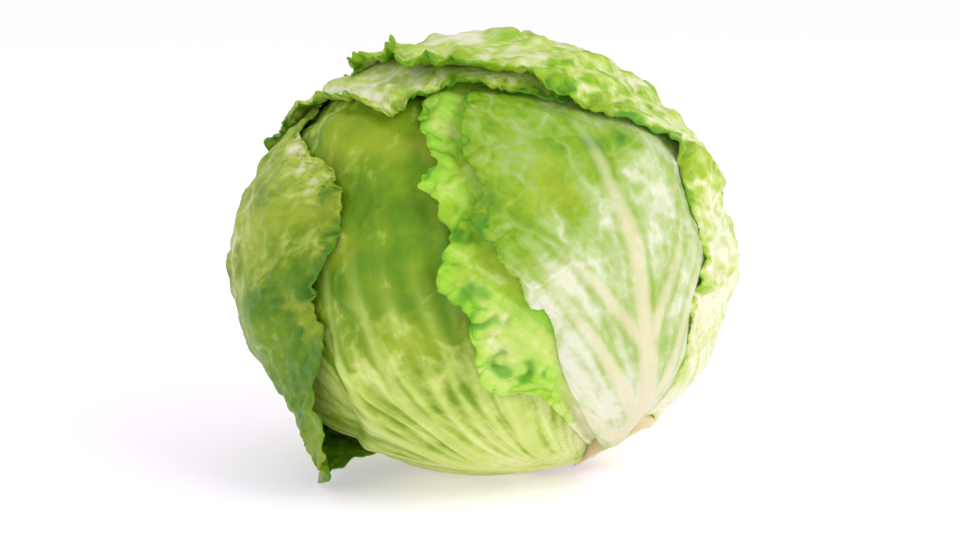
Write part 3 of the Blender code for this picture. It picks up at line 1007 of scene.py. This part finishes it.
laid = []
back_right = Leaf(
    middle=92,
    azimuth=140,
    rib=134,
    rib_tip=144,
    reaches=(76, 50, 46, 60, 86, 107, 74, 86),
    side_ribs=3,
    cells=175,
    seed=20,
    lobes=((-100, 8, 14), (-168, 7, 10)),
)
back_right_look = Look(
    lifts=(0, 0.6, 0.9, 1, 0.6, 0.6, 0.1, 0),
    tones=(0, 0.8, 1.6, 1.4, 1.3, 1.6, 2.1, 0.3),
    centre=1.0,
    crinkled=(0, 0.3, 0.6, 0.6, 1.1, 1.4, 0.6, -0.3),
    teeth=2.2,
    frill=2.2 * MM,
    ruffle=0.9 * MM,
    crumple=2.8 * MM,
    blister=1.2 * MM,
    fan=0.5 * MM,
    fan_ribs=8,
    smooth_base=40 * MM,
    curls=((-120, 12, 0.7), (-155, 10, 1.0), (150, 20, 0.8)),
)
back_right_green = leaf_finish(
    "back_right_green",
    deep=(0.11, 0.31, 0.014, 1),
    veins=1.1,
    rim_green_and_shade=1.4,
)
lay_leaf("back_right_leaf", back_right, laid, back_right_look, back_right_green)

# The crown leaf
# The second wrapper, a thin green blade that grows from the back of the stem and folds over the
# crown. It is held under the outermost leaf, and its free margin curls up along the top left.
crown = Leaf(
    middle=118,
    azimuth=178,
    rib=178,
    rib_tip=178,
    reaches=(90, 62, 62, 57, 100, 112, 76, 62),
    side_ribs=3,
    cells=175,
    seed=19,
    lobes=((-171, 12, 9),),
)
crown_look = Look(
    lifts=(0, 0.5, 0.8, 0.6, 0.4, 0.4, 0.2, 0),
    tones=(0, 1.2, 1.8, 1.2, 1.2, 1.6, 1.6, 0.6),
    centre=1.1,
    crinkled=(0, 0.3, 0.6, 0.8, 1.2, 1.3, 0.5, 0),
    teeth=2.2,
    frill=2.2 * MM,
    ruffle=0.9 * MM,
    crumple=2.8 * MM,
    blister=1.2 * MM,
    fan=0.5 * MM,
    fan_ribs=8,
    smooth_base=40 * MM,
    curls=((178, 6, 1.1), (-166, 8, 0.8), (120, 20, 0.7)),
)
crown_green = leaf_finish("crown_green", green=(0.32, 0.48, 0.03, 1), veins=1.0, rim_green_and_shade=1.6)
lay_leaf("crown_leaf", crown, laid, crown_look, crown_green)

# The front right leaf
# The broad leaf over the right of the front: cream and stiff at its base, with a strong juicy
# midrib that branches low down, and thin and green towards its margin. It clasps the stem.
front_right = Leaf(
    middle=80,
    azimuth=30,
    rib=8,
    rib_tip=44,
    reaches=(58, 62, 82, 62, 42, 26, 22, 28),
    side_ribs=3,
    cells=175,
    seed=18,
)
front_right_look = Look(
    lifts=(0, 0, 0, 0.3, 0.6, 0.6, 0.6, 0.2),
    tones=(0, 0.2, 0.9, 1.6, 2.1, 2.5, 1.8, 0.2),
    centre=1.1,
    crinkled=(0, 0, 0, 0.5, 0.7, 0.6, 0.4, 0.1),
    teeth=1.2,
    frill=1.2 * MM,
    ruffle=0.5 * MM,
    crumple=0.9 * MM,
    blister=0.9 * MM,
    fan=0.5 * MM,
    fan_ribs=8,
    smooth_base=45 * MM,
    stains=((170, 0.24, 12, 2.0), (140, 0.32, 9, 1.6)),
)
front_right_green = leaf_finish(
    "front_right_green",
    cream=(0.76, 0.78, 0.59, 1),
    pale=(0.42, 0.55, 0.17, 1),
    green=(0.235, 0.42, 0.014, 1),
    rib=(0.74, 0.68, 0.44, 1),
    veins=0.5,
    streaks=0.9,
)
lay_leaf("front_right_leaf", front_right, laid, front_right_look, front_right_green)

# The loose left leaf
# The soft olive leaf over the left. It is held at the stem only, so its margin stands off the
# head, and its lower corner hangs down to the surface in ragged teeth.
loose_left = Leaf(
    middle=100,
    azimuth=-124,
    rib=-134,
    rib_tip=-124,
    reaches=(62, 54, 86, 90, 74, 68, 66, 66),
    side_ribs=3,
    cells=160,
    seed=17,
    lobes=((112, 17, 13), (61, 10, 11)),
)
loose_left_look = Look(
    lifts=(0, 0.4, 0.2, 0.25, 0.4, 0.4, 0.2, 0),
    tones=(0.6, 2.5, 2.7, 0.9, 1.5, 1.8, 1.5, 0.8),
    centre=2.1,
    crinkled=(0.2, 1.2, 1, 0.9, 0.6, 0.5, 0.3, 0.2),
    teeth=3.4,
    frill=2.0 * MM,
    ruffle=0.8 * MM,
    crumple=2.0 * MM,
    blister=0.8 * MM,
    fan=0.8 * MM,
    fan_ribs=7,
    smooth_base=40 * MM,
    curls=((130, 10, 0.8), (98, 7, 0.5)),
    shaded_hollows=(
        (108, 0.97, 6),
        (97, 0.93, 4),
        (98, 0.8, 3),
        (90, 0.88, 6),
        (56, 0.8, 6),
        (71, 0.82, 6),
        (50, 0.95, 4),
    ),
    hang=(60, 27, 50 * MM, 13 * MM),
)
loose_left_green = leaf_finish(
    "loose_left_green",
    pale=(0.43, 0.54, 0.07, 1),
    green=(0.17, 0.29, 0.006, 1),
    deep=(0.08, 0.22, 0.010, 1),
    rib=(0.60, 0.68, 0.2, 1),
)
lay_leaf("loose_left_leaf", loose_left, laid, loose_left_look, loose_left_green)

# The front under leaf
# A bright green leaf held under the front right one. Only a strip of it shows at the front,
# with a ruffled free margin that has painted shade in its hollows and creases.
front_under = Leaf(
    middle=85,
    azimuth=40,
    rib=12,
    rib_tip=42,
    reaches=(66, 58, 60, 62, 58, 41, 42, 56),
    side_ribs=0,
    cells=150,
    seed=16,
)
front_under_look = Look(
    lifts=(0, 0, 0, 0.5, 0.8, 0.9, 0.8, 0.5),
    tones=(0, 0.5, 1, 1.6, 1.9, 2.0, 2.1, 1.2),
    centre=1.4,
    crinkled=(0, 0, 0, 0.5, 0.8, 1, 1, 0.8),
    teeth=2.6,
    frill=2.0 * MM,
    ruffle=1.2 * MM,
    crumple=0.8 * MM,
    blister=0.6 * MM,
    fan=0.4 * MM,
    fan_ribs=8,
    smooth_base=60 * MM,
    shaded_hollows=((-98, 0.95, 4), (-78, 0.94, 6), (-66, 0.92, 6), (-53, 0.93, 4), (-45, 0.92, 3)),
)
front_under_green = leaf_finish(
    "front_under_green",
    green=(0.31, 0.63, 0.035, 1),
    deep=(0.11, 0.36, 0.02, 1),
)
lay_leaf("front_under_leaf", front_under, laid, front_under_look, front_under_green)

# The bottom leaf
# The yellow-green leaf under the front and the left, stiff with the long ribs that sweep from
# the stem along the bottom. It touches the surface, and the head's weight flattens it there.
bottom = Leaf(
    middle=85,
    azimuth=-50,
    rib=-48,
    rib_tip=-56,
    reaches=(66, 60, 70, 84, 90, 84, 84, 70),
    side_ribs=3,
    cells=175,
    seed=15,
)
bottom_look = Look(
    lifts=(0, 0, 0.5, 0.8, 0.8, 0.5, 0.3, 0),
    tones=(0.2, 1.4, 4.2, 2.8, 1.6, 1.6, 1.4, 0.8),
    centre=1.9,
    crinkled=(0, 0.2, 0.5, 0.5, 0.5, 0.5, 0.4, 0.2),
    teeth=1.5,
    frill=1.5 * MM,
    ruffle=0.5 * MM,
    crumple=0.9 * MM,
    blister=1.0 * MM,
    fan=0.9 * MM,
    fan_ribs=11,
    smooth_base=55 * MM,
    shaded_hollows=((121, 0.52, 6), (112, 0.32, 4)),
)
bottom_green = leaf_finish(
    "bottom_green",
    cream=(0.76, 0.80, 0.36, 1),
    pale=(0.52, 0.64, 0.13, 1),
    green=(0.185, 0.33, 0.008, 1),
    deep=(0.12, 0.27, 0.008, 1),
    rib=(0.60, 0.70, 0.20, 1),
    veins=0.6,
    fans=1.0,
)
lay_leaf("bottom_leaf", bottom, laid, bottom_look, bottom_green)

# The inner leaves
# Four pale leaves, each pressed smooth between the wrappers and the heart. Together they close
# the head all round under the wrappers, and they hardly show.
INNER_CELLS = 60
INNER_LEAVES = {
    "inner_left_leaf": (84, -150, (64, 64, 72, 72, 74, 72, 66, 64), 14),
    "inner_right_leaf": (84, 92, (64, 64, 62, 70, 74, 72, 68, 64), 13),
    "inner_front_leaf": (86, -12, (64, 64, 68, 74, 80, 74, 68, 64), 12),
    "inner_back_leaf": (86, 172, (64, 64, 68, 72, 76, 72, 68, 64), 11),
}
inner_look = Look(
    lifts=(0,) * 8,
    tones=(0, 1, 1, 1, 1.4, 1, 1, 1),
    centre=0.8,
    crinkled=(0,) * 8,
    teeth=1.5,
    frill=0,
    ruffle=0,
    crumple=0,
    blister=0.2 * MM,
    fan=0.2 * MM,
    fan_ribs=8,
    smooth_base=60 * MM,
)
inner_pale = leaf_finish("inner_pale")
for node, (middle, azimuth, reaches, seed) in INNER_LEAVES.items():
    inner = Leaf(middle, azimuth, azimuth, azimuth, reaches, 0, INNER_CELLS, seed)
    lay_leaf(node, inner, laid, inner_look, inner_pale)

# The cut stem
# The white core of the head, cut across where it left its root. The cut face is a little rough,
# with a ring of brown vessels and a brown and pink rim. The leaf bases clasp its side.
STEM_RADIUS = 13.5 * MM
STEM_SIDES = 72
STEM_STANDS_OUT = 0.5 * MM
STEM_ROUNDING = 1.2 * MM
CORE_TIP_RADIUS = 5.5 * MM
CORE_DEPTH = 46 * MM
# The cut face's rings, each so many millimetres narrower and higher than the one before
CUT_RINGS = (
    (0.35, 0.75),
    (0.85, 0.45),
    (1.2, -0.1),
    (1.6, -0.3),
    (1.4, 0.2),
    (2.0, 0.1),
    (2.0, 0.1),
    (2.0, 0),
)
CUT_ROUGHNESS = 0.22 * MM
CUT_FACING = 0.9
SHARPEST_SMOOTH = 50
CUT_WHITE = (0.84, 0.79, 0.56, 1)
CUT_TAN = (0.80, 0.70, 0.44, 1)
VESSEL_BROWN = (0.66, 0.52, 0.26, 1)
RIM_BROWN = (0.74, 0.54, 0.32, 1)
RIM_PINK = (0.86, 0.66, 0.52, 1)
CUT_GRAIN = 260.0
CUT_PATCHES = 70.0
TAN_EDGE = (0.35, 0.7)
VESSELS_START = (0.55, 0.66)
VESSELS_END = (0.7, 0.82)
VESSEL_WAVER = 0.1
VESSEL_SHARE = 0.5
RIM_EDGE = (0.95, 1.2)
RIM_WAVER = 0.3
RIM_SHARE = 0.6
PINK_EDGE = (0.55, 0.7)
PINK_SHARE = 0.4
CUT_SMOOTHEST = 0.5
CUT_ROUGHER = 0.2
CUT_GRAIN_DEPTH = 0.4 * MM
CUT_GRAIN_STRENGTH = 0.5
CUT_LIGHT_ENTERS = 0.2
CUT_LIGHT_REACHES = (1.0, 0.8, 0.4)
CUT_LIGHT_DEPTH = 2 * MM

outwards = Vector(unit(STEM_AXIS / HALF_SIZES))
cut_centre = Vector(BALL_CENTRE + STEM_AXIS * HALF_SIZES)
side_top = STEM_STANDS_OUT - STEM_ROUNDING
bpy.ops.object.select_all(action="DESELECT")
bpy.ops.mesh.primitive_cone_add(
    vertices=STEM_SIDES,
    radius1=STEM_RADIUS,
    radius2=CORE_TIP_RADIUS,
    depth=CORE_DEPTH + side_top,
    location=cut_centre + outwards * (side_top - CORE_DEPTH) / 2,
    rotation=outwards.to_track_quat("-Z", "Y").to_euler(),
)
core = bpy.context.object
core.name = "stem_core"
bpy.ops.object.transform_apply(location=True, rotation=True, scale=True)
for side in core.data.polygons:
    side.select = side.normal.dot(outwards) > CUT_FACING
bpy.ops.object.mode_set(mode="EDIT")
bpy.ops.mesh.select_mode(type="FACE")
for narrower, higher in CUT_RINGS:
    bpy.ops.mesh.inset(thickness=narrower * MM, depth=higher * MM)
for _ in CUT_RINGS:
    bpy.ops.mesh.select_more()
bpy.ops.transform.vertex_random(offset=CUT_ROUGHNESS, seed=6)
bpy.ops.object.mode_set(mode="OBJECT")
bpy.ops.object.shade_smooth_by_angle(angle=math.radians(SHARPEST_SMOOTH))
places = np.array([point.co[:] for point in core.data.vertices]) - np.array(cut_centre)
across = np.linalg.norm(places - np.outer(places @ np.array(outwards), np.array(outwards)), axis=1)
core.data.attributes.new("across", "FLOAT", "POINT").data.foreach_set("value", across / STEM_RADIUS)

stem_cut, shader = new_finish("stem_cut")
paint = Field(stem_cut.node_tree)
solid = paint.solid()
mottle = paint.cloud(solid, CUT_GRAIN, 5.0, "3D")
patch = paint.cloud(solid, CUT_PATCHES, 3.0, "3D")
ring = paint.attribute("across")
rim = (ring + patch * RIM_WAVER).step(*RIM_EDGE)
wavering = ring + mottle * VESSEL_WAVER
vessels = wavering.step(*VESSELS_START) * (1 - wavering.step(*VESSELS_END))
colour = mottle.step(*TAN_EDGE).blend(CUT_WHITE, CUT_TAN)
colour = (vessels * VESSEL_SHARE).blend(colour, VESSEL_BROWN)
colour = (rim * RIM_SHARE).blend(colour, RIM_BROWN)
colour = (patch.step(*PINK_EDGE) * PINK_SHARE).blend(colour, RIM_PINK)
colour.feed(shader, "Base Color")
(CUT_SMOOTHEST + mottle * CUT_ROUGHER).feed(shader, "Roughness")
mottle.bumps(CUT_GRAIN_STRENGTH, CUT_GRAIN_DEPTH).feed(shader, "Normal")
translucent(shader, CUT_LIGHT_ENTERS, CUT_LIGHT_REACHES, CUT_LIGHT_DEPTH)
core.data.materials.append(stem_cut)
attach(core, "root")
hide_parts("stem")

# The heart
# The ball of tightly folded inner leaves, pale yellow and juicy. It grows on the core inside
# the wrappers and isn't seen, so it keeps its CAD solid and has only a finish.
HEART_PALE = (0.72, 0.76, 0.36, 1)
HEART_GREEN = (0.58, 0.68, 0.22, 1)
HEART_GRAIN = 90.0
GREEN_EDGE = (0.3, 0.75)
HEART_ROUGHNESS = 0.5
HEART_GRAIN_DEPTH = 1 * MM
HEART_GRAIN_STRENGTH = 0.5

heart_pale, shader = new_finish("heart_pale")
paint = Field(heart_pale.node_tree)
mottle = paint.cloud(paint.solid(), HEART_GRAIN, 5.0, "3D")
mottle.step(*GREEN_EDGE).blend(HEART_PALE, HEART_GREEN).feed(shader, "Base Color")
mottle.bumps(HEART_GRAIN_STRENGTH, HEART_GRAIN_DEPTH).feed(shader, "Normal")
shader.inputs["Roughness"].default_value = HEART_ROUGHNESS
frame["nodes"]["heart"].material_slots[0].material = heart_pale
